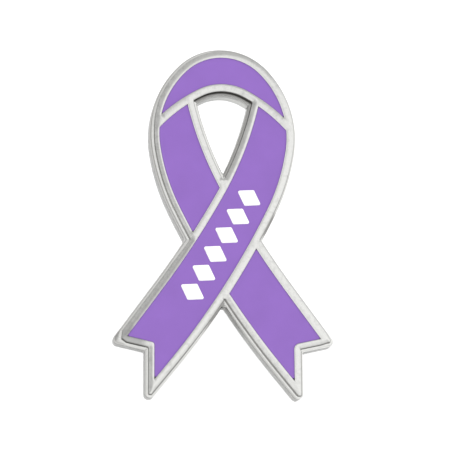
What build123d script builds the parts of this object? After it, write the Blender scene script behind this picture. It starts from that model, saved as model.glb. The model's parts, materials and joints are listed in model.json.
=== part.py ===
"""Awareness ribbon pin: a struck metal ribbon with violet enamel in four cells.

It is drawn flat, back down and loop towards +Y, then leaned back on its post.
At rest the two tail tips and the point of the post stand on the ground.
"""
import os
from math import asin, atan2, cos, degrees, hypot, radians, sin, sqrt, tan

from build123d import *

# Overall sizes, in millimetres
pin_height = 31.75
loop_width = 12.67
plate_thickness = 1.70
rim_height = 0.45

# Widths seen from the front
ledge_width = 0.28
outer_rim_width = 0.60
inner_rim_width = 0.63
end_rim_width = 0.53
band_rim_width = 0.70
crossing_rim_width = 0.75

# Places on the ribbon
arch_depth = 3.77
tail_notch_height = 4.38
tail_notch_slope = 12.5

# Roundings
ledge_rounding = 0.18
back_rounding = 0.12
rim_rounding = 0.06
plate_tip_radius = 0.45
plate_corner_radius = 0.25
hole_corner_radius = 0.10
rim_tip_radius = 0.15
rim_corner_radius = 0.12
left_notch_radius = 0.30
right_notch_radius = 0.55

# Enamel
enamel_recess = 0.12
enamel_gap = 0.02

# Printed marks
lozenge_count = 6
lozenge_length = 2.50
lozenge_width = 1.70
lozenge_pitch = 2.00
lozenge_thickness = 0.06
lozenge_gap = 0.01
lozenge_corner_radius = 0.15
lozenge_row_height = 13.63

# Post
post_height = 15.80
post_length = 8.00
post_radius = 0.55
post_point_length = 1.00
post_point_radius = 0.12
flange_radius = 1.50
flange_thickness = 0.35
flange_gap = 0.02

# Outer edge of the strap, from the top of the loop down to the tail:
# radius of each arc as a share of the loop's width, and its turn in degrees
ARCH_ARCS = [
    (0.416, 44.3),
    (0.695, 54.2),
]
SIDE_ARCS = [
    (1.528, 17.6),
    (5.828, 13.1),
]

# Inner edge of the strap, from under the arch down to the tail
INNER_ARCS = [
    (2.552, 19.4),
    (6.355, 7.3),
]
inner_start_across = 0.240 * loop_width
inner_start_drop = 0.215 * loop_width
inner_start_angle = 99.5

# Lower edge of the arch, from its middle outwards
BAND_ARCS = [
    (0.315, 28.0),
    (1.108, 24.0),
]

rim_top = pin_height - ledge_width
hole_top = rim_top - arch_depth
enamel_floor = plate_thickness + enamel_gap
enamel_top = plate_thickness + rim_height - enamel_recess
below_the_tails = -tail_notch_height
upward = Vector(0, 0, 1)


class ArcChain:
    """Arcs that run on from each other, turning clockwise, then a straight run."""

    def __init__(self, start, start_angle, rows, grow):
        """Start at a point and a heading; grow is added to every radius."""
        heading = radians(-start_angle)
        point = Vector(start) + Vector(-sin(heading), cos(heading)) * grow
        self.edges = []
        self.arcs = []
        for share, turn in rows:
            radius = share * loop_width + grow
            centre = point + Vector(sin(heading), -cos(heading)) * radius
            middle_heading = heading - radians(turn) / 2
            heading -= radians(turn)
            middle = centre + Vector(-sin(middle_heading), cos(middle_heading)) * radius
            end = centre + Vector(-sin(heading), cos(heading)) * radius
            self.edges.append(ThreePointArc(point, middle, end))
            self.arcs.append((centre, radius, end.Y))
            point = end
        self.end = point
        self.direction = Vector(cos(heading), sin(heading))

    def run_to(self, height):
        """Edges of the chain, with the straight run down to a height."""
        stop = self.end + self.direction * ((height - self.end.Y) / self.direction.Y)
        return self.edges + [Line(self.end, stop)]

    def across_at(self, height):
        """Distance from the centre line where the chain passes a height."""
        for centre, radius, end_height in self.arcs:
            if height >= end_height:
                return centre.X + sqrt(radius**2 - (height - centre.Y) ** 2)
        run = (height - self.end.Y) / self.direction.Y
        return self.end.X + self.direction.X * run


def outer_edge(inset):
    """Outer edge of the front strap, moved into the strap by inset."""
    return ArcChain((0, rim_top), 0, ARCH_ARCS + SIDE_ARCS, -inset)


def inner_edge(inset):
    """Inner edge of the front strap, moved into the strap by inset."""
    start = (inner_start_across, rim_top - inner_start_drop)
    return ArcChain(start, inner_start_angle, INNER_ARCS, inset)


def band_edge(inset):
    """Right half of the arch's lower edge, moved up into the arch by inset."""
    return ArcChain((0, hole_top), 0, BAND_ARCS, inset)


def mirrored(shape):
    """The same shape on the other side of the centre line."""
    return mirror(shape, about=Plane.YZ)


def symmetric_face(edges):
    """Face between edges that start on the centre line and their mirror image."""
    others = [mirrored(edge) for edge in edges]
    base = Line(others[-1] @ 1, edges[-1] @ 1)
    return make_face(others + edges + [base])


def face_between(left_edges, right_edges):
    """Face between two runs of edges, joined by a line at each end."""
    top = Line(left_edges[0] @ 0, right_edges[0] @ 0)
    bottom = Line(left_edges[-1] @ 1, right_edges[-1] @ 1)
    return make_face(left_edges + right_edges + [top, bottom])


def tail_side():
    """How far out the notch's upright edge lies: there the plate's tips end at height 0."""
    edge = outer_edge(0)
    half_tip = atan2(-edge.direction.X, -edge.direction.Y) / 2
    tip_rise = (plate_tip_radius - ledge_width) / tan(half_tip)
    return -edge.across_at(plate_tip_radius - tip_rise)


def notch(inset, radius):
    """What the notch takes off the end of the left tail."""
    slope = radians(tail_notch_slope)
    corner_x = inset - tail_side()
    corner_y = tail_notch_height + inset / cos(slope) - inset * tan(slope)
    far_x = -pin_height
    outline = Polyline(
        (corner_x, corner_y),
        (corner_x, 2 * below_the_tails),
        (far_x, 2 * below_the_tails),
        (far_x, corner_y + (corner_x - far_x) * tan(slope)),
        close=True,
    )
    cut = make_face(outline)
    corner = cut.vertices().sort_by_distance((corner_x, corner_y, 0))[0]
    return fillet(corner, radius)


def strap(outer_inset, inner_inset, end_inset, notch_radius):
    """The front strap, from under the arch to the left tail."""
    inner = inner_edge(inner_inset).run_to(below_the_tails)
    outer = outer_edge(outer_inset).run_to(below_the_tails)
    return face_between(inner, outer) - notch(end_inset, notch_radius)


def arch(outer_inset, band_inset):
    """The top of the loop, down to the lower edge of its band."""
    cap = symmetric_face(outer_edge(outer_inset).edges[:len(ARCH_ARCS)])
    return cap - symmetric_face(band_edge(band_inset).run_to(0))


def round_corners_of(face, run, radius):
    """Round the sharp corners of a face's shortest or longest closed run of edges."""
    smallest_turn = 5.0
    corners = []
    edges = face.wires().sort_by(SortBy.LENGTH)[run].order_edges()
    for edge, following in zip(edges, edges[1:] + edges[:1]):
        if (edge % 1).get_angle(following % 0) > smallest_turn:
            corners += face.vertices().sort_by_distance(edge @ 1)[:1]
    return fillet(corners, radius)


def ribbon(grow, tip_radius, corner_radius, hole_radius):
    """The whole outline and its open loop, grown on every side, corners rounded."""
    front = strap(-grow, -grow, -grow, rim_corner_radius)
    whole = front + mirrored(front) + arch(-grow, -grow)
    across = whole.vertices().sort_by(Axis.X)
    along = whole.vertices().sort_by(Axis.Y)
    whole = fillet([across[0], across[-1], along[0], along[1]], tip_radius)
    whole = round_corners_of(whole, 0, hole_radius)
    return round_corners_of(whole, -1, corner_radius)


def strap_cell(gap, notch_radius):
    """A cell along the whole front strap, up to the arch."""
    field = strap(
        outer_rim_width + gap,
        inner_rim_width + gap,
        end_rim_width + gap,
        notch_radius,
    )
    return field - arch(-gap, -gap)


def cell_faces(gap):
    """The four cells, drawn in by gap, by the name of the enamel that fills each."""
    setback = crossing_rim_width - outer_rim_width
    crossing = strap(-setback - gap, -gap, -gap, rim_corner_radius)
    back = mirrored(strap_cell(gap, right_notch_radius)) - crossing
    lower, upper = back.faces().sort_by(Axis.Y)
    return {
        "arch_enamel": arch(outer_rim_width + gap, band_rim_width + gap),
        "left_band_enamel": upper,
        "front_band_enamel": strap_cell(gap, left_notch_radius),
        "right_tail_enamel": lower,
    }


def raised(face, floor, top):
    """A flat face made solid between two levels."""
    return Pos(0, 0, floor) * extrude(face, top - floor, dir=upward)


def round_rims_of(solid, level, radius):
    """Round the edges round the highest or lowest flat face, one closed run at a time."""
    runs = len(solid.faces().sort_by(Axis.Z)[level].wires())
    for run in range(runs):
        wires = solid.faces().sort_by(Axis.Z)[level].wires().sort_by(SortBy.LENGTH)
        solid = fillet(wires[run].edges(), radius)
    return solid


def struck_base():
    """Plate with a rounded ledge, and rims that stand on it round the four cells."""
    outline = ribbon(ledge_width, plate_tip_radius, plate_corner_radius, hole_corner_radius)
    plate = raised(outline, 0, plate_thickness)
    plate = round_rims_of(plate, -1, ledge_rounding)
    plate = round_rims_of(plate, 0, back_rounding)
    outline = ribbon(0, rim_tip_radius, rim_corner_radius, rim_corner_radius)
    for cell in cell_faces(0).values():
        outline -= cell
    rims = raised(outline, plate_thickness, plate_thickness + rim_height)
    crest = rims.faces().sort_by(Axis.Z)[-1].outer_wire()
    return plate + fillet(crest.edges(), rim_rounding)


def lozenges():
    """Printed marks in a row up the front strap, each the long way across it."""
    outer = outer_edge(0)
    inner = inner_edge(0)

    def strap_middle(height):
        """Point half way between the strap's edges at a height."""
        return Vector((outer.across_at(height) + inner.across_at(height)) / 2, height)

    reach = lozenge_pitch * (lozenge_count - 1) / 2
    along = strap_middle(lozenge_row_height + reach) - strap_middle(lozenge_row_height - reach)
    outline = Polyline(
        (lozenge_width / 2, 0),
        (0, lozenge_length / 2),
        (-lozenge_width / 2, 0),
        (0, -lozenge_length / 2),
        close=True,
    )
    mark = make_face(outline)
    mark = fillet(mark.vertices(), lozenge_corner_radius)
    floor = enamel_top + lozenge_gap
    mark = raised(mark, floor, floor + lozenge_thickness)
    row = Pos(strap_middle(lozenge_row_height)) * Rot(0, 0, degrees(atan2(along.Y, along.X)))
    return [row * Pos(lozenge_pitch * i - reach, 0, 0) * mark for i in range(lozenge_count)]


def pin_post():
    """Post with a flange on the back and a blunt point."""
    outline = Polyline(
        (0, -flange_gap),
        (flange_radius, -flange_gap),
        (flange_radius, -flange_gap - flange_thickness),
        (post_radius, -flange_gap - flange_thickness),
        (post_radius, post_point_length - post_length),
        (post_point_radius, -post_length),
        (0, -post_length),
        close=True,
    )
    profile = Plane.XZ * make_face(outline)
    return Pos(0, post_height, 0) * revolve(profile, Axis.Z)


def lean_angle():
    """Turn about X that puts the tail tips and the post's point on one level."""
    run = post_height - post_point_radius - back_rounding
    rise = post_length + back_rounding
    return degrees(atan2(rise, run) - asin(back_rounding / hypot(rise, run)))


def stand(pieces):
    """Lean the pin on its post, its origin under the middle of its box."""
    leaned = {name: Rot(lean_angle(), 0, 0) * piece for name, piece in pieces.items()}
    box = Compound(list(leaned.values())).bounding_box()
    middle = box.center()
    place = Pos(-middle.X, -middle.Y, -box.min.Z)
    return {name: place * piece for name, piece in leaned.items()}


pieces = {"struck_base": struck_base()}
for name, face in cell_faces(enamel_gap).items():
    pieces[name] = raised(face, enamel_floor, enamel_top)
for number, mark in enumerate(lozenges(), start=1):
    pieces[f"white_lozenge_{number}"] = mark
pieces["pin_post"] = pin_post()

os.makedirs("parts", exist_ok=True)
for name, piece in stand(pieces).items():
    export_step(piece, f"parts/{name}.step")
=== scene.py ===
import json
from collections import defaultdict
from math import ceil, cos, pi, radians, sin

import bmesh
import bpy
import numpy as np
from bpy.props import FloatProperty, FloatVectorProperty, PointerProperty
from mathutils import Matrix, Vector
from mathutils.geometry import delaunay_2d_cdt
from mathutils.kdtree import KDTree


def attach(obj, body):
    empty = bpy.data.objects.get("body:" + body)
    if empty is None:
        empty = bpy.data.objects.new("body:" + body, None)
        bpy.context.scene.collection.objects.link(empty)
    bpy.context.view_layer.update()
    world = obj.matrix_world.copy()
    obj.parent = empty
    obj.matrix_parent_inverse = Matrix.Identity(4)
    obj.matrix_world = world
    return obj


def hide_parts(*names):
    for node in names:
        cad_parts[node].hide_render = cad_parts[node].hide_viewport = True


bl_info = {
    "name": "Awareness Ribbon Pin",
    "version": (1, 0, 0),
    "blender": (4, 5, 0),
    "location": "3D View > Sidebar > Ribbon Pin",
    "description": "Dresses a struck ribbon pin: plated rims, violet enamel, printed marks and its post",
    "category": "Object",
}

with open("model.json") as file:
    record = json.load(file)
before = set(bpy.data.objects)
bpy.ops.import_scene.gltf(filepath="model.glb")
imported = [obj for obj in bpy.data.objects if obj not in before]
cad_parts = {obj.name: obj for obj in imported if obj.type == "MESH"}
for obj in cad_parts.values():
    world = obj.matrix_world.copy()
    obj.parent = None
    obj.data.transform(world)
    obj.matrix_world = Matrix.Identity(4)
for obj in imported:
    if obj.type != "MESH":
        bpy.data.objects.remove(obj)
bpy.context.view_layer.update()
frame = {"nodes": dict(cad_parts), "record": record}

MM = 0.001
BASE_NODE = "struck_base"
POST_NODE = "pin_post"
ENAMEL_NODES = ("arch_enamel", "left_band_enamel", "front_band_enamel", "right_tail_enamel")
LOZENGE_NODES = tuple(sorted(name for name in frame["nodes"] if name.startswith("white_lozenge")))
POST_MOUNT = frame["record"]["mounts"][0]

# Cards in the light tent: brightness, direction, and the angles from it inside which
# the card is full and outside which it is gone
STUDIO_CARDS = (
    (1.06, (0.86, 0.05, 0.51), 28, 38),
    (0.62, (0.00, 0.45, 0.89), 31, 36),
    (0.60, (-0.20, -0.20, 0.96), 12, 17),
    (1.20, (-0.63, -0.25, 0.735), 15, 20),
    (0.84, (0.62, -0.60, 0.50), 20, 30),
    (1.16, (0.34, -0.25, 0.91), 8, 16),
)

# Where the rims are darker and the painted shade at their foot deeper, on the flat pin: across, up and how
# far, in millimetres
DARKER_RIM_SPOTS = ((-8.3, 4.7, 1.7),)

# Where the dark line at the rim's foot fades, above the crossing's left corner
FADED_SPOTS = ((-4.6, 16.8, 3.0),)

# Where the ledge and the wall are shaded, in the corners beside the crossing
SHADED_SPOTS = (
    (4.1, 15.5, 1.5),
    (0.1, 8.1, 3.4),
)


# Sizes and colours that a user would change


def length(name, description, default):
    """A length in metres."""
    return FloatProperty(
        name=name, description=description, default=default, min=0, unit="LENGTH", precision=6
    )


def colour(name, description, default):
    """A colour in linear light."""
    return FloatVectorProperty(
        name=name, description=description, default=default, min=0, max=1, size=3, subtype="COLOR"
    )


def factor(name, description, default, highest=1.0):
    """A share or a strength without a unit."""
    return FloatProperty(
        name=name, description=description, default=default, min=0, max=highest, subtype="FACTOR"
    )


def angle(name, description, degrees):
    """An angle, given in degrees and kept in radians."""
    return FloatProperty(name=name, description=description, default=radians(degrees), unit="ROTATION")


class BaseLook(bpy.types.PropertyGroup):
    """Rims, ledge and plating of the struck base."""

    wall_draft: length("Wall draft", "How far each rim's wall leans inwards on its way up", 0.03 * MM)
    outer_crown_width: length("Outer crown width", "Width of the low crown along the outline", 0.45 * MM)
    outer_crown_drop: length("Outer crown drop", "Depth of the low crown along the outline", 0.06 * MM)
    inner_crown_width: length("Inner crown width", "Width of the crown round each cell", 0.08 * MM)
    inner_crown_drop: length("Inner crown drop", "Depth of the crown round each cell", 0.05 * MM)
    # The dark line along each rim's foot is painted shade in its corner.
    corner_line: length("Corner line", "Width of the dark line along each rim's foot", 0.045 * MM)
    plating: colour("Plating", "Colour of the plated metal", (0.74, 0.74, 0.72))
    # This colour also paints shade on the walls' tops and the rims' left-facing slopes, and marks the
    # darker spots; on the back it is duller plating.
    dulled: colour("Dulled plating", "Colour of the plating where it has dulled", (0.48, 0.48, 0.47))
    # Colour of the painted shade: dark lines, corners and edges of the metal.
    pocket: colour("Pocket", "Colour of the metal in its dark lines and corners", (0.06, 0.055, 0.05))


class EnamelLook(bpy.types.PropertyGroup):
    """Enamel in the four cells."""

    edge_gap: length("Edge gap", "Gap between enamel and rim", 0.006 * MM)
    corner_radius: length("Corner radius", "How far enamel stays out of a sharp corner", 0.12 * MM)
    climb: length("Climb", "How high the enamel climbs at a rim", 0.03 * MM)
    climb_width: length("Climb width", "Width of the strip in which it climbs", 0.16 * MM)
    # The darker line beside a rim is partly enamel pooled thicker there and partly painted shade of the
    # rim.
    line_width: length("Line width", "Width of the darker line beside a rim", 0.07 * MM)
    violet: colour("Violet", "Colour of the enamel", (0.242, 0.1195, 0.458))
    line: colour("Edge line", "Colour of the enamel beside a rim", (0.15, 0.07, 0.30))


class LozengeLook(bpy.types.PropertyGroup):
    """Printed marks on the front strap."""

    edge_round: length("Edge round", "Rounding of the ink's edge", 0.045 * MM)
    ink: colour("Ink", "Colour of the printed ink", (0.93, 0.93, 0.92))


class PostLook(bpy.types.PropertyGroup):
    """Post on the back."""

    flange_round: length("Flange round", "Rounding of the flange's edges", 0.08 * MM)
    solder_round: length("Solder round", "Radius of the solder between flange and post", 0.28 * MM)
    point_round: length("Point round", "Rounding where the point starts", 0.15 * MM)
    steel: colour("Steel", "Colour of the plated wire", (0.78, 0.78, 0.77))


class StudioLook(bpy.types.PropertyGroup):
    """Camera, floor and light."""

    camera_side: angle("Camera side", "How far the camera stands to the face's left", 7.856)
    camera_below: angle("Camera below", "How far the camera stands below the face's normal", 12.5)
    camera_roll: angle("Camera roll", "Turn of the picture", -0.398)
    picture_height: length("Picture height", "Height of the picture at the pin", 39.882 * MM)
    lens: FloatProperty(
        name="Lens", description="Focal length in millimetres", default=160, min=1, unit="CAMERA"
    )
    tent: factor("Tent", "Brightness of the light tent", 1.07, 10)
    fill: factor("Fill", "Power of the shadowless fill light, in watts", 2.5, 10)
    floor: colour("Floor", "Colour of the pale floor", (0.97, 0.97, 0.97))


def look(name):
    """Settings of one group of pieces."""
    return getattr(bpy.context.scene, "ribbon_pin_" + name)


def in_mm(group):
    """Lengths of a group of settings, in millimetres, by name."""
    return {key: getattr(group, key) / MM for key, value in group.bl_rna.properties.items()
            if value.type == "FLOAT" and value.unit == "LENGTH"}


# The pin laid flat


class FlatPin:
    """The pin laid flat, in millimetres: across it, up the ribbon and out of its face."""

    def __init__(self):
        """Take the face's direction from the post, and the lowest corner from the base."""
        outward = -Vector(POST_MOUNT["axis"]).normalized()
        across = Vector((1, 0, 0))
        self.axes = np.array([across, outward.cross(across), outward])
        turned = self.turned(frame["nodes"][BASE_NODE].data.vertices)
        self.origin = np.array([0, turned[:, 1].min(), turned[:, 2].min()])

    def turned(self, vertices):
        """Mesh vertices in the flat pin's directions."""
        return np.array([v.co for v in vertices]) @ self.axes.T / MM

    def points(self, vertices):
        """Mesh vertices as flat points."""
        return self.turned(vertices) - self.origin

    def node_points(self, node):
        """A node's mesh vertices as flat points."""
        return self.points(frame["nodes"][node].data.vertices)

    def standing(self, points):
        """Flat points where they stand on the leaning pin, in metres."""
        return (np.asarray(points) + self.origin) @ self.axes * MM


flat_pin = FlatPin()


def area(loop):
    """Signed area inside a loop, positive where it runs anticlockwise."""
    x, y = loop.T
    return (x * np.roll(y, -1) - y * np.roll(x, -1)).sum() / 2


def middle(points):
    """Middle of the box round some points."""
    return (points.min(0) + points.max(0)) / 2


def node_loops(node):
    """Closed loops of a node's mesh that lie level on the flat pin, by level."""
    same_place, level_digits = 1e-7, 3
    mesh = bmesh.new()
    mesh.from_mesh(frame["nodes"][node].data)
    bmesh.ops.remove_doubles(mesh, verts=mesh.verts, dist=same_place)
    points = flat_pin.points(mesh.verts)
    levels = np.round(points[:, 2], level_digits)
    neighbours = defaultdict(list)
    for edge in mesh.edges:
        a, b = (vertex.index for vertex in edge.verts)
        flat = [len({levels[v.index] for v in face.verts}) == 1 for face in edge.link_faces]
        if levels[a] == levels[b] and sum(flat) <= 1:
            neighbours[a].append(b)
            neighbours[b].append(a)
    mesh.free()
    loops = defaultdict(list)
    seen = set()
    for start in neighbours:
        loop = []
        following = start
        while following is not None:
            seen.add(following)
            loop.append(following)
            following = next((n for n in neighbours[following] if n not in seen), None)
        if len(loop) > 2 and loop[0] in neighbours[loop[-1]]:
            loops[float(levels[start])].append(points[loop, :2])
    return dict(loops)


def smooth_loop(loop, spacing):
    """A faceted loop made round again; it keeps its corners and straight runs."""
    facet_sag, slack, least_turn, excess = 0.010, 1.5, radians(3), 0.2
    steps = np.roll(loop, -1, 0) - loop
    lengths = np.linalg.norm(steps, axis=1)
    ways = steps / lengths[:, None]
    came = np.roll(ways, 1, 0)
    turn = np.arccos(np.clip((came * ways).sum(1), -1, 1))
    expected = 4 * facet_sag * (1 / lengths + 1 / np.roll(lengths, 1))
    corner = turn > slack * expected + least_turn
    tangents = np.roll(loop, -1, 0) - np.roll(loop, 1, 0)
    tangents /= np.linalg.norm(tangents, axis=1)[:, None]
    points = []
    for i in range(len(loop)):
        j = (i + 1) % len(loop)
        start_way = ways[i] if corner[i] else tangents[i]
        end_way = ways[i] if corner[j] else tangents[j]
        if corner[i] and not corner[j]:
            start_way = 2 * ways[i] - end_way
        if corner[j] and not corner[i]:
            end_way = 2 * ways[i] - start_way
        for t in np.arange(0, 1, 1 / max(1, ceil(lengths[i] / spacing - excess))):
            points.append(
                (2 * t**3 - 3 * t**2 + 1) * loop[i]
                + (t**3 - 2 * t**2 + t) * lengths[i] * start_way
                + (3 * t**2 - 2 * t**3) * loop[j]
                + (t**3 - t**2) * lengths[i] * end_way
            )
    return np.array(points)


class Outline:
    """Closed run of points with the ground that it borders on its left."""

    def __init__(self, points, ground_inside):
        """Points in either order; ground_inside says which side the ground lies on."""
        self.points = points if (area(points) > 0) == ground_inside else points[::-1]
        steps = np.roll(self.points, -1, 0) - self.points
        self.leaving = steps / np.linalg.norm(steps, axis=1)[:, None]
        self.arriving = np.roll(self.leaving, 1, 0)
        along = self.arriving + self.leaving
        along /= np.linalg.norm(along, axis=1)[:, None]
        self.off_ground = np.stack([along[:, 1], -along[:, 0]], axis=1)

    def ring(self, distance):
        """Points at a distance into the ground, or away from it if that is negative."""
        widest_step, least_cosine = radians(20), 0.2
        cross = self.arriving[:, 0] * self.leaving[:, 1] - self.arriving[:, 1] * self.leaving[:, 0]
        turns = np.arctan2(cross, (self.arriving * self.leaving).sum(1))
        points = []
        for point, way, turn in zip(self.points, self.arriving, turns):
            normal = np.array([-way[1], way[0]])
            if turn * distance < 0 and abs(turn) > widest_step:
                count = ceil(abs(turn) / widest_step)
                swings = [turn * i / count for i in range(count + 1)]
                reach = distance
            else:
                swings = [turn / 2]
                reach = distance / max(cos(turn / 2), least_cosine)
            for swing in swings:
                turned = normal * cos(swing) + np.array([-normal[1], normal[0]]) * sin(swing)
                points.append(point + turned * reach)
        return np.array(points)


def point_tree(points):
    """Tree that finds the nearest of some flat points."""
    tree = KDTree(len(points))
    for i, (x, y) in enumerate(points):
        tree.insert((x, y, 0), i)
    tree.balance()
    return tree


def distance_to(outlines, points):
    """Distance from each point to the nearest of some outlines."""
    tried = 3
    starts, ends, before = (
        np.concatenate([np.roll(o.points, shift, 0) for o in outlines]) for shift in (0, -1, 1)
    )
    tree = point_tree(starts)
    near = np.array([[hit[1] for hit in tree.find_n((x, y, 0), tried)] for x, y in points])
    a = np.concatenate([starts[near], before[near]], axis=1)
    b = np.concatenate([ends[near], starts[near]], axis=1)
    step = b - a
    away = points[:, None] - a
    share = np.clip((away * step).sum(2) / (step * step).sum(2), 0, 1)
    return np.linalg.norm(away - share[..., None] * step, axis=2).min(1)


def facing(outlines, points):
    """Direction off the ground at the nearest of some outlines, for each point."""
    ways = np.concatenate([o.off_ground for o in outlines])
    tree = point_tree(np.concatenate([o.points for o in outlines]))
    return ways[[tree.find((x, y, 0))[1] for x, y in points]]


def inside(outlines, points):
    """Which points lie inside an odd number of outlines."""
    odd = np.zeros(len(points), bool)
    for outline in outlines:
        for (x1, y1), (x2, y2) in zip(outline.points, np.roll(outline.points, -1, 0)):
            if y1 != y2:
                level = (points[:, 1] >= min(y1, y2)) & (points[:, 1] < max(y1, y2))
                level &= points[:, 0] < x1 + (points[:, 1] - y1) * (x2 - x1) / (y2 - y1)
                odd ^= level
    return odd


def filler(borders, outlines, step, clearance):
    """Loose grid of points on the ground, clear of all outlines."""
    row_share = 0.866
    every = np.concatenate([o.points for o in borders])
    low, high = every.min(0), every.max(0)
    rows = np.arange(low[1], high[1], step * row_share)
    points = np.array([(x + step / 2 * (i % 2), y) for i, y in enumerate(rows)
                       for x in np.arange(low[0], high[0], step)])
    points = points[inside(borders, points)]
    return points[distance_to(outlines, points) > clearance]


class Patch:
    """Triangles over the ground between outlines, with rings of points along them."""

    def __init__(self, borders, creases, rings, grid_step):
        """rings is a list of (outlines, distances into their ground)."""
        tolerance, apart, join = 0.002, 0.02, 1e-5
        fixed = borders + creases
        points = []
        edges = []
        self.spans = []
        for outline in fixed:
            start, count = len(points), len(outline.points)
            points += list(outline.points)
            edges += [(start + i, start + (i + 1) % count) for i in range(count)]
            self.spans.append(range(start, start + count))
        clearance = 0.0
        for family, distances in rings:
            clearance = max([clearance, *distances])
            others = [o for o in fixed if o not in family]
            for outline in family:
                for distance in distances:
                    ring = outline.ring(distance)
                    kept = distance_to(family, ring) > abs(distance) - tolerance
                    kept &= inside(borders, ring)
                    if others:
                        kept &= distance_to(others, ring) > apart
                    numbers = np.cumsum(kept) + len(points) - 1
                    points += list(ring[kept])
                    edges += [(numbers[i - 1], numbers[i]) for i in range(1, len(ring))
                              if kept[i] and kept[i - 1]]
        points += list(filler(borders, fixed, grid_step, clearance + grid_step / 4))
        made = delaunay_2d_cdt([Vector(p) for p in points], edges, [], 0, join)
        corners, _, faces, origins = made[:4]
        self.points = np.array([tuple(p) for p in corners])
        faces = np.array(faces)
        self.faces = faces[inside(borders, self.points[faces].mean(1))]
        place = {old: new for new, olds in enumerate(origins) for old in olds}
        self.loops = [np.array([place[i] for i in span]) for span in self.spans]


class MeshMaker:
    """Collects flat points, faces and one value for each point, and makes the piece."""

    def __init__(self):
        """Start with nothing."""
        self.points = []
        self.faces = []
        self.values = defaultdict(dict)

    def add_points(self, flat, heights, **values):
        """Add points at heights; give back their numbers."""
        start = len(self.points)
        heights = np.broadcast_to(heights, len(flat))
        self.points += [(x, y, z) for (x, y), z in zip(flat, heights)]
        numbers = np.arange(start, len(self.points))
        for name, value in values.items():
            self.values[name].update(zip(numbers, np.broadcast_to(value, len(flat))))
        return numbers

    def add_patch(self, patch, heights, upwards=True, **values):
        """Add a patch of ground; give back the numbers of its loops."""
        numbers = self.add_points(patch.points, heights, **values)
        faces = numbers[patch.faces]
        self.faces += [tuple(f) if upwards else tuple(f[::-1]) for f in faces]
        return [numbers[loop] for loop in patch.loops]

    def add_wall(self, loop, following):
        """Join two loops of as many points; the first one is the upper one."""
        for i in range(len(loop)):
            self.faces.append((loop[i - 1], following[i - 1], following[i], loop[i]))

    def close_below(self, loop, flat, height, **values):
        """Drop a wall from a loop to a height and close it with one face."""
        lower = self.add_points(flat, height, **values)
        self.add_wall(loop, lower)
        self.faces.append(tuple(lower[::-1]))

    def make(self, name, material):
        """Make the object, ride it on the part's body and give it back."""
        sharpest_smooth = radians(35)
        mesh = bpy.data.meshes.new(name)
        mesh.from_pydata([tuple(p) for p in flat_pin.standing(self.points)], [], self.faces)
        mesh.validate()
        for key, numbers in self.values.items():
            layer = mesh.attributes.new(key, "FLOAT", "POINT")
            values = np.zeros(len(self.points), np.float32)
            values[list(numbers)] = list(numbers.values())
            layer.data.foreach_set("value", values)
        clean = bmesh.new()
        clean.from_mesh(mesh)
        bmesh.ops.delete(clean, geom=[v for v in clean.verts if not v.link_faces], context="VERTS")
        bmesh.ops.recalc_face_normals(clean, faces=clean.faces)
        clean.to_mesh(mesh)
        clean.free()
        mesh.shade_smooth()
        mesh.set_sharp_from_angle(angle=sharpest_smooth)
        mesh.materials.append(material)
        piece = bpy.data.objects.new(name, mesh)
        bpy.context.scene.collection.objects.link(piece)
        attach(piece, "root")
        return piece


def rounding(distance, width, drop):
    """How far a rounded edge lies below its flat at a distance from the edge."""
    share = np.clip(1 - distance / width, 0, 1)
    return drop * (1 - np.sqrt(1 - share**2))


def crown(distance, width, drop):
    """How far a low crown lies below its top at a distance from its edge."""
    return drop * np.clip(1 - distance / width, 0, 1) ** 2


def rounding_steps(width, count):
    """Distances from an edge that divide its rounding evenly."""
    return [width * (1 - cos(pi / 2 * i / count)) for i in range(1, count + 1)]


# Shader node groups and materials


def node_group(name, inputs, outputs):
    """An empty shader group with float or colour sockets; gives the tree and its two ends."""
    tree = bpy.data.node_groups.new(name, "ShaderNodeTree")
    for socket, kind, default in inputs:
        made = tree.interface.new_socket(socket, in_out="INPUT", socket_type="NodeSocket" + kind)
        if default is not None:
            made.default_value = default
    for socket, kind in outputs:
        tree.interface.new_socket(socket, in_out="OUTPUT", socket_type="NodeSocket" + kind)
    return tree, tree.nodes.new("NodeGroupInput"), tree.nodes.new("NodeGroupOutput")


def feed(tree, socket, value):
    """Link a changing value to a socket, or set a constant on it."""
    if isinstance(value, bpy.types.NodeSocket):
        tree.links.new(value, socket)
    else:
        socket.default_value = value


def math_node(tree, operation, first, second):
    """A Math node fed by sockets or numbers; gives its output."""
    node = tree.nodes.new("ShaderNodeMath")
    node.operation = operation
    for socket, value in zip(node.inputs, (first, second)):
        feed(tree, socket, value)
    return node.outputs[0]


def noise_node(tree, vector, scale, detail=2, roughness=0.5):
    """A noise texture; scale is a number or a socket. Gives its output."""
    node = tree.nodes.new("ShaderNodeTexNoise")
    for key, value in (("Vector", vector), ("Scale", scale), ("Detail", detail), ("Roughness", roughness)):
        feed(tree, node.inputs[key], value)
    return node.outputs["Fac"]


def mix_colours(tree, share, first, second):
    """A colour between two, each a socket or three numbers; gives the output."""
    node = tree.nodes.new("ShaderNodeMix")
    node.data_type = "RGBA"
    tree.links.new(share, node.inputs["Factor"])
    for socket, value in ((node.inputs[6], first), (node.inputs[7], second)):
        feed(tree, socket, value if isinstance(value, bpy.types.NodeSocket) else (*value, 1))
    return node.outputs[2]


def map_range(tree, value, low, high, to_low, to_high):
    """Maps a value from one range to another, clamped; gives the output."""
    node = tree.nodes.new("ShaderNodeMapRange")
    for socket, number in zip(node.inputs, (value, low, high, to_low, to_high)):
        feed(tree, socket, number)
    return node.outputs[0]


def spread(tree, noise, to_low, to_high):
    """Spreads the middle of a noise's range over another range; gives the output."""
    low, high = 0.3, 0.7
    return map_range(tree, noise, low, high, to_low, to_high)


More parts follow.
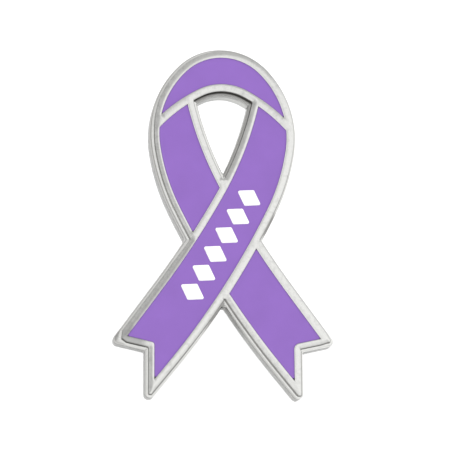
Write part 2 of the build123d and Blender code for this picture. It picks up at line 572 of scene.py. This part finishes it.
def fine_grain_group():
    """Fine grain with slow mottling over it, for all the materials."""
    found = bpy.data.node_groups.get("Fine Grain")
    if found:
        return found
    inputs = [("Vector", "Vector", None), ("Grain Scale", "Float", 9000.0),
              ("Mottle Scale", "Float", 1200.0)]
    outputs = [("Grain", "Float"), ("Mottle", "Float"), ("Height", "Float")]
    tree, start, end = node_group("Fine Grain", inputs, outputs)
    vector, grain_scale, mottle_scale = start.outputs[:3]
    grain_height = 0.35
    grain = noise_node(tree, vector, grain_scale, detail=3, roughness=0.6)
    mottle = noise_node(tree, vector, mottle_scale)
    height = math_node(tree, "ADD", math_node(tree, "MULTIPLY", grain, grain_height), mottle)
    for socket, value in zip(end.inputs, (grain, mottle, height)):
        tree.links.new(value, socket)
    return tree


def wear_and_shade_group():
    """Where the plating is bright: a mask that breaks up along its border, carrying rubbed edges and
    painted shade and light alike.
    """
    found = bpy.data.node_groups.get("Wear And Shade")
    if found:
        return found
    inputs = [("Edge", "Float", 0.0), ("Mottle", "Float", 0.5), ("Break Up", "Float", 0.6)]
    tree, start, end = node_group("Wear And Shade", inputs, [("Mask", "Float")])
    edge, mottle, break_up = start.outputs[:3]
    mean, least, most = 0.5, 0.2, 0.8
    wander = math_node(tree, "MULTIPLY", math_node(tree, "SUBTRACT", mottle, mean), break_up)
    mask = map_range(tree, math_node(tree, "ADD", edge, wander), least, most, 0.0, 1.0)
    tree.links.new(mask, end.inputs[0])
    return tree


class Finish:
    """A material being made: its tree, shader and shared texture coordinates."""

    def __init__(self, name):
        """A new material with one Principled shader."""
        self.material = bpy.data.materials.new(name)
        self.material.use_nodes = True
        self.tree = self.material.node_tree
        self.shader = self.tree.nodes["Principled BSDF"]
        self.vector = self.tree.nodes.new("ShaderNodeTexCoord").outputs["Object"]

    def group(self, tree, **inputs):
        """Place a node group and feed it with sockets or numbers; give back the node."""
        node = self.tree.nodes.new("ShaderNodeGroup")
        node.node_tree = tree
        for key, value in inputs.items():
            feed(self.tree, node.inputs[key.replace("_", " ").title()], value)
        return node

    def grain(self, scale, mottle_scale):
        """Place the fine grain at its two scales; give back the node."""
        tree = fine_grain_group()
        return self.group(tree, vector=self.vector, grain_scale=scale, mottle_scale=mottle_scale)

    def attribute(self, name):
        """A value that the mesh holds for each point."""
        node = self.tree.nodes.new("ShaderNodeAttribute")
        node.attribute_name = name
        return node.outputs["Fac"]

    def feed(self, name, value):
        """Link a changing value, or set a constant, on the shader."""
        feed(self.tree, self.shader.inputs[name], value)

    def roughness(self, noise, smooth, rough):
        """Let a noise vary the shader's roughness."""
        self.feed("Roughness", spread(self.tree, noise, smooth, rough))

    def bump(self, height, distance):
        """Give the shader small relief, in metres."""
        node = self.tree.nodes.new("ShaderNodeBump")
        node.inputs["Distance"].default_value = distance
        self.tree.links.new(height, node.inputs["Height"])
        self.tree.links.new(node.outputs["Normal"], self.shader.inputs["Normal"])


def plated_metal():
    """Silver-coloured plating: rubbed bright in front, duller and stippled on the back, with painted shade
    and painted light from the mesh's values mixed into its colour.
    """
    settings = look("base")
    dull_roughness, rubbed_roughness, tint = 0.34, 0.16, (0.5, 0.5, 0.5, 1)
    stipple_scale, grain_height, relief = 5200.0, 0.2, 0.02 * MM
    finish = Finish("Plated Metal")
    tree = finish.tree
    grain = finish.grain(14000.0, 2400.0)
    wear_and_shade = finish.group(wear_and_shade_group(), edge=finish.attribute("polish"),
                        mottle=grain.outputs["Mottle"], break_up=0.75)
    metal = mix_colours(tree, wear_and_shade.outputs["Mask"], settings.dulled, settings.plating)
    # Painted shade from the mesh's values darkens the metal's colour.
    pocket = finish.attribute("pocket")
    finish.feed("Base Color", mix_colours(tree, pocket, metal, settings.pocket))
    rough = map_range(tree, wear_and_shade.outputs["Mask"], 0.0, 1.0, dull_roughness, rubbed_roughness)
    mottled = spread(tree, grain.outputs["Mottle"], -0.04, 0.05)
    finish.feed("Roughness", math_node(tree, "ADD", rough, mottled))
    finish.feed("Metallic", 1.0)
    finish.feed("Specular Tint", tint)
    stipple = noise_node(tree, finish.vector, stipple_scale)
    backed = math_node(tree, "MULTIPLY", stipple, finish.attribute("stipple"))
    grained = math_node(tree, "MULTIPLY", grain.outputs["Height"], grain_height)
    finish.bump(math_node(tree, "ADD", grained, backed), relief)
    return finish.material


def violet_enamel():
    """Smooth violet enamel, darker in a thin line along the rims: partly enamel pooled thicker there,
    partly painted shade of the rim.
    """
    settings = look("enamel")
    clouding, gloss, relief = 0.03, 0.45, 0.004 * MM
    finish = Finish("Violet Enamel")
    tree = finish.tree
    grain = finish.grain(7000.0, 420.0)
    cloud = spread(tree, grain.outputs["Mottle"], 0.0, 1.0)
    lighter = [min(1.0, value * (1 + clouding)) for value in settings.violet]
    deeper = [value * (1 - clouding) for value in settings.violet]
    field = mix_colours(tree, cloud, deeper, lighter)
    # Darker line along the rim: partly pooled enamel, partly painted shade.
    distance = finish.attribute("edge_distance")
    wander = spread(tree, grain.outputs["Mottle"], 0.8, 1.2)
    reach = math_node(tree, "MULTIPLY", wander, settings.line_width / MM)
    line = map_range(tree, distance, 0.0, reach, 1.0, 0.0)
    finish.feed("Base Color", mix_colours(tree, line, field, settings.line))
    finish.roughness(grain.outputs["Grain"], 0.30, 0.38)
    finish.feed("Specular IOR Level", gloss)
    finish.bump(grain.outputs["Height"], relief)
    return finish.material


def white_ink():
    """Printed white ink with a faint grain."""
    settings = look("lozenge")
    thinnest, thin_below, full_above, relief = 0.12, 0.3, 0.5, 0.006 * MM
    finish = Finish("White Ink")
    tree = finish.tree
    grain = finish.grain(16000.0, 2500.0)
    thin = map_range(tree, grain.outputs["Mottle"], thin_below, full_above, thinnest, 0.0)
    finish.feed("Base Color", mix_colours(tree, thin, settings.ink, look("enamel").violet))
    finish.roughness(grain.outputs["Grain"], 0.42, 0.52)
    finish.bump(grain.outputs["Height"], relief)
    return finish.material


def post_metal():
    """Plated wire, drawn lengthwise."""
    settings = look("post")
    drawn_out, line_scale, relief = 0.06, 12000.0, 0.004 * MM
    dullest, dull_below, bright_above = 0.90, 0.35, 0.65
    finish = Finish("Post Metal")
    tree = finish.tree
    turn = tree.nodes.new("ShaderNodeMapping")
    turn.inputs["Rotation"].default_value = (
        Vector(POST_MOUNT["axis"]).rotation_difference(Vector((0, 0, -1))).to_euler()
    )
    turn.inputs["Scale"].default_value = (1, 1, drawn_out)
    tree.links.new(finish.vector, turn.inputs["Vector"])
    lines = noise_node(tree, turn.outputs["Vector"], line_scale, detail=3, roughness=0.6)
    grain = finish.grain(12000.0, 1500.0)
    dull = [value * dullest for value in settings.steel]
    tone = map_range(tree, grain.outputs["Mottle"], dull_below, bright_above, 0.0, 1.0)
    finish.feed("Base Color", mix_colours(tree, tone, dull, settings.steel))
    finish.roughness(lines, 0.24, 0.40)
    finish.feed("Metallic", 1.0)
    finish.bump(math_node(tree, "ADD", lines, grain.outputs["Height"]), relief)
    return finish.material


def pale_floor():
    """Matt pale floor with a trace of grain."""
    settings = look("studio")
    darkest, gloss = 0.985, 0.2
    finish = Finish("Pale Floor")
    grain = finish.grain(2500.0, 40.0)
    shade = [value * darkest for value in settings.floor]
    finish.feed("Base Color", mix_colours(finish.tree, grain.outputs["Mottle"], shade, settings.floor))
    finish.roughness(grain.outputs["Grain"], 0.85, 0.95)
    finish.feed("Specular IOR Level", gloss)
    return finish.material


# Pieces


class PinOutlines:
    """Outlines and levels of the struck base, read from its solid."""

    def __init__(self):
        """Sort the base's level loops into plate, ledge, rims and cells."""
        spacing, nearly_all = 0.13, 0.9999
        # The ledge's own two edges, the feet of the two rims and the four cells lie on one level
        ledge_loops = 4 + len(ENAMEL_NODES)
        loops = node_loops(BASE_NODE)
        widest = max(abs(area(loop)) for found in loops.values() for loop in found)
        walls = [level for level, found in loops.items()
                 if max(abs(area(loop)) for loop in found) > nearly_all * widest]
        self.back_rounding = min(walls)
        self.wall_top = max(walls)
        self.ledge = next(level for level, found in loops.items() if len(found) == ledge_loops)
        self.crest = float(flat_pin.node_points(BASE_NODE)[:, 2].max())
        plate = sorted(loops[self.wall_top], key=lambda loop: abs(area(loop)))
        self.plate_hole, self.plate = (smooth_loop(loop, spacing) for loop in plate)
        ground = [smooth_loop(loop, spacing) for loop in loops[self.ledge]]
        self.cells = {}
        for node in ENAMEL_NODES:
            centre = middle(flat_pin.node_points(node)[:, :2])
            nearest = min(range(len(ground)), key=lambda i: np.linalg.norm(middle(ground[i]) - centre))
            self.cells[node] = ground.pop(nearest)
        ground.sort(key=lambda loop: abs(area(loop)))
        self.rim_hole, self.rim = ground[1], ground[2]


outlines = PinOutlines()


def held(value):
    """A value held between 0 and 1."""
    return np.clip(value, 0, 1)


def near_spots(points, spots):
    """How close each point lies to the nearest spot, from 0 to 1."""
    close = np.zeros(len(points))
    for across, up, reach in spots:
        away = np.hypot(points[:, 0] - across, points[:, 1] - up)
        close = np.maximum(close, held(2 - 2 * away / reach))
    return close


def as_struck(outline):
    """The outer rim as struck: fuller on its right, slimmer along the left band, with blunt tips."""
    reach, upwards = 0.14, 0.4
    band_low, low_fade, band_high, high_fade = 12.0, 2.0, 27.0, 3.0
    tip_reach, left_depth, right_depth, tip_rise = 0.9, 0.45, 0.15, 0.35
    across, along = outline.off_ground.T
    x, y = outline.points.T
    on_band = held((y - band_low) / low_fade) * held((band_high - y) / high_fade)
    growth = reach * (held(across + upwards * along) - on_band * held(-across))
    moved = outline.points + outline.off_ground * growth[:, None]
    for number, depth in ((np.argmin(x), left_depth), (np.argmax(x), -right_depth)):
        away = np.linalg.norm(outline.points - outline.points[number], axis=1)
        moved += held(1 - away / tip_reach)[:, None] * np.array([depth, tip_rise * abs(depth)])
    return Outline(moved, True)


class StruckFront:
    """The base's front: its outlines, its points and where each one lies, in millimetres."""

    ledge_round = 0.12

    def __init__(self, sizes):
        """Lay rings of points along the plate, the rims and the cells, and measure from them."""
        steps, grid_step = 5, 0.3
        self.sizes = sizes
        self.draft, self.corner_line = sizes["wall_draft"], sizes["corner_line"]
        self.plate = [Outline(outlines.plate, True), Outline(outlines.plate_hole, False)]
        self.rims = [as_struck(Outline(outlines.rim, True)), Outline(outlines.rim_hole, False)]
        self.cells = [Outline(loop, False) for loop in outlines.cells.values()]
        ledge_rings = [-0.20, -0.14, -self.corner_line]
        crown_rings = [self.draft + sizes["outer_crown_width"] * i / steps for i in range(steps + 1)]
        cell_rings = [sizes["inner_crown_width"] * i / steps for i in range(1, steps + 1)]
        rings = [
            (self.plate, rounding_steps(self.ledge_round, steps)),
            (self.rims, ledge_rings + crown_rings),
            (self.cells, cell_rings),
        ]
        self.ground = Patch(self.plate + self.cells, self.rims, rings, grid_step)
        points = self.ground.points
        self.from_plate = distance_to(self.plate, points)
        self.from_hole = distance_to(self.plate[1:], points)
        self.from_rim = distance_to(self.rims, points)
        self.from_cell = distance_to(self.cells, points)
        self.on_rim = inside(self.rims, points) & (self.from_rim > self.draft / 2)
        self.across, self.along = facing(self.rims, points).T
        self.up = points[:, 1]
        self.dull, self.faded, self.shaded = (
            near_spots(points, spots) for spots in (DARKER_RIM_SPOTS, FADED_SPOTS, SHADED_SPOTS)
        )

    def heights(self):
        """Crowned rims with leaning walls, and the ledge with its rounded edge."""
        crown_drop = self.sizes["outer_crown_drop"]
        tie, flat_facing, flat_rise = 0.001, 0.8, 3
        slope_width, slope_drop, slope_rise = 0.24, 0.026, 2
        near_hole = distance_to(self.rims[1:], self.ground.points) < self.from_rim + tie
        # The rim under the hole's lowest corner stays flat
        drop = np.where(near_hole, crown_drop * held(flat_rise * (flat_facing - self.along)), crown_drop)
        top = outlines.crest - crown(self.from_rim - self.draft, self.sizes["outer_crown_width"], drop)
        top -= crown(self.from_cell, self.sizes["inner_crown_width"], self.sizes["inner_crown_drop"])
        cell_across, cell_along = facing(self.cells, self.ground.points).T
        # Rims to the left of a cell slope down to it
        slope = held(slope_rise * cell_across + cell_along - 1)
        top -= crown(self.from_cell, slope_width, slope_drop * slope)
        wall = outlines.ledge + (outlines.crest - crown_drop - outlines.ledge) * self.from_rim / self.draft
        edge = rounding(self.from_plate, self.ledge_round, outlines.ledge - outlines.wall_top)
        return np.where(self.on_rim, np.minimum(top, wall), outlines.ledge - edge)

    def painted_foot_shade(self):
        """Painted shade in the corner at each rim's foot: a dark line, deepest where the foot faces down.
        """
        level, downwards, rightwards, dulling, fading = 0.27, 0.36, 0.15, 0.7, 0.6
        line = held((level - downwards * self.along + rightwards * self.across) * (1 + dulling * self.dull))
        return line * held(1 - self.from_rim / self.corner_line) * (1 - fading * self.faded)

    def painted_hole_shade(self):
        """Painted shade on the ledge, along the top and the right of the hole."""
        leftwards, deepest, at_edge, rise, width = 0.72, 0.88, 0.5, 0.5, 0.4
        lip = np.clip(np.maximum(-self.along, -leftwards * self.across), 0, deepest)
        lip *= held(at_edge + self.from_hole / rise)
        return lip * (self.from_hole < width) * ~self.on_rim

    def painted_shoulder_shade(self):
        """Painted shade on the ledge's rounded edge, where it faces left and down."""
        strength, leftwards, downwards, start, rise = 0.38, 1.1, 0.5, 0.16, 0.06
        shade = strength * held(-leftwards * self.across - downwards * self.along)
        shade *= held((self.from_rim - start) / rise) * held(2 - self.from_plate / self.ledge_round)
        return shade * ~self.on_rim

    def painted_edge_reflection(self):
        """Painted dark reflection: a grey line on each rim's edge, where it faces right; it is deeper on
        the tails' ends.
        """
        strength, end_strength, end_top, width = 0.42, 0.35, 5.0, 0.05
        rightwards, upwards = 1.2, 0.2
        line = strength + end_strength * held(end_top - self.up)
        line *= held(rightwards * self.across + upwards * self.along)
        return line * held(1 - np.abs(self.from_rim - self.draft) / width) * self.on_rim

    def painted_grey_edge(self):
        """Painted shade: grey on the ledge that faces up and left, and a grey line along the left tail's
        enamel.
        """
        ledge_strength, strength, place, flat_top, width = 0.26, 0.5, 0.16, 1.15, 0.2
        upwards, tail_top, tail_fade = 3, 14.8, 2
        line = strength * held((tail_top - self.up) / tail_fade)
        line *= held(flat_top - np.abs(self.from_cell - place) / width)
        return np.where(self.on_rim, line, ledge_strength) * held(-self.across) * held(upwards * self.along)

    def corner_shade(self):
        """Shade of the ledge in the corners beside the crossing."""
        level, rightwards, least, most = 0.45, 0.5, 0.10, 0.60
        return np.clip(level + rightwards * self.across, least, most) * self.shaded * ~self.on_rim

    def pocket(self):
        """How dark each point is painted: the deepest of the painted shade marks above."""
        shades = (self.painted_foot_shade, self.painted_hole_shade, self.painted_shoulder_shade,
                  self.painted_edge_reflection, self.painted_grey_edge, self.corner_shade)
        return np.max([shade() for shade in shades], axis=0)

    def polish(self):
        """How bright the plating is at each point: less on the rims and in the darker spots, with painted
        shade on outer slopes that face left.
        """
        rim_polish, dulling, slope_shade, slope_width = 0.8, 0.7, 0.35, 0.3
        # Painted shade on the rims' outer slopes that face left.
        slope = held(-self.across) * held(1 - self.from_rim / slope_width)
        return np.where(self.on_rim, rim_polish - dulling * self.dull - slope_shade * slope, 1.0)


def add_back(maker, plate):
    """Add the stippled back with its rounded edge; give back the numbers of its loops."""
    steps, grid_step, stipple_rise, flat_polish = 4, 0.6, 0.4, 0.2
    width = outlines.back_rounding
    back = Patch(plate, [], [(plate, rounding_steps(width, steps))], grid_step)
    from_plate = distance_to(plate, back.points)
    # The flat back is duller plating; towards its rounded edge it is painted brighter, carrying on the
    # wall's painted light.
    polish = flat_polish + (1 - flat_polish) * held(1 - from_plate / width)
    return maker.add_patch(back, rounding(from_plate, width, width), upwards=False,
                           stipple=held(from_plate / stipple_rise), polish=polish)


def add_sides(maker, plate, front_loops, back_loops):
    """Join front and back by walls round the plate and through its hole, with painted shade at their top
    and beside the crossing, and painted light lower down.
    """
    upper_shades, upper_depth, upper_shaded_polish = (0.05, 0.10), 0.03, 0.2
    lower_shade, lower_depth, lower_lit_polish = 0.0, 0.8, 1.0
    corner_shade = 0.45
    for outline, upper_shade, loop, last in zip(plate, upper_shades, front_loops, back_loops):
        corner = corner_shade * near_spots(outline.points, SHADED_SPOTS)
        for depth, shade, polish in ((upper_depth, upper_shade, upper_shaded_polish),
                                     (lower_depth, lower_shade, lower_lit_polish)):
            level = maker.add_points(outline.points, outlines.wall_top - depth,
                                     pocket=np.maximum(corner, shade), polish=polish)
            maker.add_wall(loop, level)
            loop = level
        maker.add_wall(loop, last)


def strike_base():
    """Make the base: stippled back, wall, rounded ledge, rims and cells."""
    front = StruckFront(in_mm(look("base")))
    maker = MeshMaker()
    loops = maker.add_patch(front.ground, front.heights(), polish=front.polish(), pocket=front.pocket())
    add_sides(maker, front.plate, loops, add_back(maker, front.plate))
    # The cells' walls, under the enamel, get full painted shade.
    for outline, loop in zip(front.cells, loops[len(front.plate):]):
        maker.close_below(loop, outline.points, outlines.ledge, pocket=1.0)
    piece = maker.make("struck_ribbon", plated_metal())
    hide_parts(BASE_NODE)


def node_levels(node):
    """Lowest and highest level of a node on the flat pin."""
    heights = flat_pin.node_points(node)[:, 2]
    return float(heights.min()), float(heights.max())


def fill_cell(node, material):
    """Make one cell's enamel: eased out of sharp corners, climbing a little at the rims."""
    sizes = in_mm(look("enamel"))
    tolerance, grid_step, steepness = 0.002, 0.45, 1.6
    ring_shares = (0.15, 0.35, 0.6, 1.0, 1.6)
    # The arch's corners are the sharpest, and its enamel runs deepest into them
    radius_share = 0.5 if node == "arch_enamel" else 1
    cell = Outline(outlines.cells[node], True)
    radius = sizes["corner_radius"] * radius_share
    core = cell.ring(radius)
    core = Outline(core[distance_to([cell], core) > radius - tolerance], True)
    border = Outline(core.ring(sizes["edge_gap"] - radius), True)
    steps = [sizes["climb_width"] * share for share in ring_shares]
    patch = Patch([border], [], [([border], steps)], grid_step)
    low, high = node_levels(node)
    distance = distance_to([border], patch.points)
    heights = high + sizes["climb"] * np.exp(-(distance / sizes["climb_width"] * steepness) ** 2)
    maker = MeshMaker()
    loop = maker.add_patch(patch, heights, edge_distance=distance)[0]
    maker.close_below(loop, border.points, low)
    piece = maker.make(node.replace("enamel", "violet"), material)
    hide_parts(node)


def print_lozenge(node, material):
    """Make one printed mark with a soft edge."""
    width = in_mm(look("lozenge"))["edge_round"]
    spacing, steps, grid_step, rounded_share = 0.08, 3, 0.25, 0.8
    low, high = node_levels(node)
    loops = node_loops(node)
    border = Outline(smooth_loop(loops[max(loops)][0], spacing), True)
    patch = Patch([border], [], [([border], rounding_steps(width, steps))], grid_step)
    distance = distance_to([border], patch.points)
    maker = MeshMaker()
    loop = maker.add_patch(patch, high - rounding(distance, width, rounded_share * (high - low)))[0]
    maker.close_below(loop, border.points, low)
    piece = maker.make(node.replace("white", "printed"), material)
    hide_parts(node)


def round_corner(before, corner, after, radius):
    """Points of an arc that rounds a corner of a profile."""
    count = 5
    before, corner, after = (np.array(p, float) for p in (before, corner, after))
    first, second = ((point - corner) / np.linalg.norm(point - corner) for point in (before, after))
    half = np.arccos(np.clip(first @ second, -1, 1)) / 2
    centre = corner + (first + second) / np.linalg.norm(first + second) * radius / sin(half)
    start, end = (corner + way * radius / np.tan(half) - centre for way in (first, second))
    sweep = np.arccos(np.clip(start @ end / radius**2, -1, 1))
    shares = [i / count for i in range(count + 1)]
    arms = [start * sin((1 - share) * sweep) + end * sin(share * sweep) for share in shares]
    return [tuple(centre + arm / sin(sweep)) for arm in arms]


def turn_post():
    """Make the post: flange, a fillet of solder, the wire and its blunt point."""
    sizes = in_mm(look("post"))
    sides, tip_round_share, end_slack, rim_slack = 64, 0.6, 0.001, 0.01
    points = flat_pin.node_points(POST_NODE)
    centre = middle(points)[:2]
    reach = np.linalg.norm(points[:, :2] - centre, axis=1)
    flange_radius = float(reach.max())
    tip = float(points[:, 2].min())
    tip_radius = float(reach[points[:, 2] < tip + end_slack].max())
    wire_radius = POST_MOUNT["dims"]["r_mm"]
    flange_low = float(points[reach > flange_radius - rim_slack][:, 2].min())
    point_start = flange_low - POST_MOUNT["dims"]["length_mm"]
    corners = [
        (0, 0), (flange_radius, 0), (flange_radius, flange_low), (wire_radius, flange_low),
        (wire_radius, point_start), (tip_radius, tip), (0, tip),
    ]
    tip_round = tip_radius * tip_round_share
    radii = [sizes["flange_round"]] * 2 + [sizes["solder_round"], sizes["point_round"], tip_round]
    profile = []
    for i, radius in enumerate(radii, start=1):
        profile += round_corner(corners[i - 1], corners[i], corners[i + 1], radius)
    maker = MeshMaker()
    turns = [2 * pi * i / sides for i in range(sides)]
    circle = np.array([(cos(turn), sin(turn)) for turn in turns])
    rings = [maker.add_points(centre + radius * circle, height) for radius, height in profile]
    for upper, lower in zip(rings, rings[1:]):
        maker.add_wall(upper, lower)
    maker.faces.append(tuple(rings[0]))
    maker.faces.append(tuple(rings[-1][::-1]))
    piece = maker.make("clutch_post", post_metal())
    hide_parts(POST_NODE)


# Stage


def place_camera():
    """Stand the camera where the pin's face is seen from a little below and beside it."""
    settings = look("studio")
    picture = 450
    aim_pixel = (223.918, 227.0)
    aim_flat = (0, 15.23, 2.03)
    sensor_width, nearest, farthest = 36, 0.05, 50
    side, below, roll = settings.camera_side, settings.camera_below, settings.camera_roll
    back = np.array([-sin(side) * cos(below), -sin(below), cos(side) * cos(below)])
    right = np.cross((0, 1, 0), back)
    right /= np.linalg.norm(right)
    top = np.cross(back, right)
    right, top = right * cos(roll) + top * sin(roll), top * cos(roll) - right * sin(roll)
    back, right, top = (vector @ flat_pin.axes for vector in (back, right, top))
    pixel = settings.picture_height / picture
    data = bpy.data.cameras.new("Camera")
    data.lens = settings.lens
    data.sensor_width = sensor_width
    distance = settings.picture_height * data.lens / sensor_width
    aim = flat_pin.standing([aim_flat])[0]
    place = aim + back * distance
    place -= right * (aim_pixel[0] - picture / 2) * pixel
    place += top * (aim_pixel[1] - picture / 2) * pixel
    data.clip_start, data.clip_end = distance * nearest, distance * farthest
    camera = bpy.data.objects.new("Camera", data)
    columns = np.column_stack([right, top, back, place])
    camera.matrix_world = Matrix([*columns.tolist(), (0, 0, 0, 1)])
    bpy.context.scene.collection.objects.link(camera)
    bpy.context.scene.camera = camera


def lay_floor():
    """Lay a plain pale floor under the pin."""
    size, segments = 2.0, 40
    maker = bmesh.new()
    bmesh.ops.create_grid(maker, x_segments=segments, y_segments=segments, size=size)
    mesh = bpy.data.meshes.new("floor")
    maker.to_mesh(mesh)
    maker.free()
    mesh.materials.append(pale_floor())
    floor = bpy.data.objects.new("floor", mesh)
    bpy.context.scene.collection.objects.link(floor)


def light_studio():
    """Light tent all round the pin, with bright and grey cards in it, and a weak fill light."""
    settings = look("studio")
    lamp_size, lamp_distance, lamp_side = 0.5, 0.6, Vector((0.42, 0.40, 0.81))
    world = bpy.data.worlds.new("Studio")
    world.use_nodes = True
    tree = world.node_tree
    background = tree.nodes["Background"]
    direction = tree.nodes.new("ShaderNodeTexCoord").outputs["Generated"]
    tone = (settings.tent,) * 3
    for card, towards, full, gone in STUDIO_CARDS:
        dot = tree.nodes.new("ShaderNodeVectorMath")
        dot.operation = "DOT_PRODUCT"
        tree.links.new(direction, dot.inputs[0])
        dot.inputs[1].default_value = Vector(towards).normalized()
        share = map_range(tree, dot.outputs["Value"], cos(radians(gone)), cos(radians(full)), 0.0, 1.0)
        tone = mix_colours(tree, share, tone, (card, card, card))
    tree.links.new(tone, background.inputs["Color"])
    bpy.context.scene.world = world
    lamp = bpy.data.lights.new("Fill", "AREA")
    lamp.energy = settings.fill
    lamp.size = lamp_size
    lamp.use_shadow = False
    fill = bpy.data.objects.new("Fill", lamp)
    fill.location = lamp_side * lamp_distance
    fill.rotation_euler = lamp_side.to_track_quat("Z", "Y").to_euler()
    fill.visible_glossy = False
    bpy.context.scene.collection.objects.link(fill)
    bpy.context.scene.view_settings.view_transform = "Standard"


# Operators and panel


class RIBBONPIN_OT_strike_base(bpy.types.Operator):
    """Make the struck base with its ledge, rims, cells and stippled back"""

    bl_idname = "ribbon_pin.strike_base"
    bl_label = "Strike Base"

    def execute(self, context):
        """One piece for the whole base."""
        strike_base()
        return {"FINISHED"}


class RIBBONPIN_OT_fill_cells(bpy.types.Operator):
    """Fill the four cells with violet enamel"""

    bl_idname = "ribbon_pin.fill_cells"
    bl_label = "Fill Cells"

    def execute(self, context):
        """One piece for each cell."""
        material = violet_enamel()
        for node in ENAMEL_NODES:
            fill_cell(node, material)
        return {"FINISHED"}


class RIBBONPIN_OT_print_lozenges(bpy.types.Operator):
    """Print the white marks on the front strap"""

    bl_idname = "ribbon_pin.print_lozenges"
    bl_label = "Print Lozenges"

    def execute(self, context):
        """One piece for each mark."""
        material = white_ink()
        for node in LOZENGE_NODES:
            print_lozenge(node, material)
        return {"FINISHED"}


class RIBBONPIN_OT_turn_post(bpy.types.Operator):
    """Make the post with its flange and blunt point"""

    bl_idname = "ribbon_pin.turn_post"
    bl_label = "Turn Post"

    def execute(self, context):
        """One piece for the whole post."""
        turn_post()
        return {"FINISHED"}


class RIBBONPIN_OT_set_stage(bpy.types.Operator):
    """Lay the floor, light the studio and place the camera"""

    bl_idname = "ribbon_pin.set_stage"
    bl_label = "Set Stage"

    def execute(self, context):
        """Floor, light and camera."""
        lay_floor()
        light_studio()
        place_camera()
        return {"FINISHED"}


class RIBBONPIN_PT_sidebar(bpy.types.Panel):
    """Steps and settings of the ribbon pin"""

    bl_idname = "RIBBONPIN_PT_sidebar"
    bl_label = "Ribbon Pin"
    bl_space_type = "VIEW_3D"
    bl_region_type = "UI"
    bl_category = "Ribbon Pin"

    def draw(self, context):
        """List each step above its settings."""
        for operator, name, group in STEPS:
            box = self.layout.box()
            box.operator(operator.bl_idname)
            for setting in group.__annotations__:
                box.prop(look(name), setting)


STEPS = (
    (RIBBONPIN_OT_strike_base, "base", BaseLook),
    (RIBBONPIN_OT_fill_cells, "enamel", EnamelLook),
    (RIBBONPIN_OT_print_lozenges, "lozenge", LozengeLook),
    (RIBBONPIN_OT_turn_post, "post", PostLook),
    (RIBBONPIN_OT_set_stage, "studio", StudioLook),
)


def register():
    """Register the settings, the operators and the panel."""
    for operator, name, group in STEPS:
        bpy.utils.register_class(group)
        setattr(bpy.types.Scene, "ribbon_pin_" + name, PointerProperty(type=group))
        bpy.utils.register_class(operator)
    bpy.utils.register_class(RIBBONPIN_PT_sidebar)


def unregister():
    """Take back what register added."""
    bpy.utils.unregister_class(RIBBONPIN_PT_sidebar)
    for operator, name, group in reversed(STEPS):
        bpy.utils.unregister_class(operator)
        delattr(bpy.types.Scene, "ribbon_pin_" + name)
        bpy.utils.unregister_class(group)


def main():
    """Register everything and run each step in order."""
    register()
    for operator, *_ in STEPS:
        category, name = operator.bl_idname.split(".")
        if getattr(getattr(bpy.ops, category), name)() != {"FINISHED"}:
            raise RuntimeError(f"{operator.bl_label} did not finish")


if __name__ == "__main__":
    main()
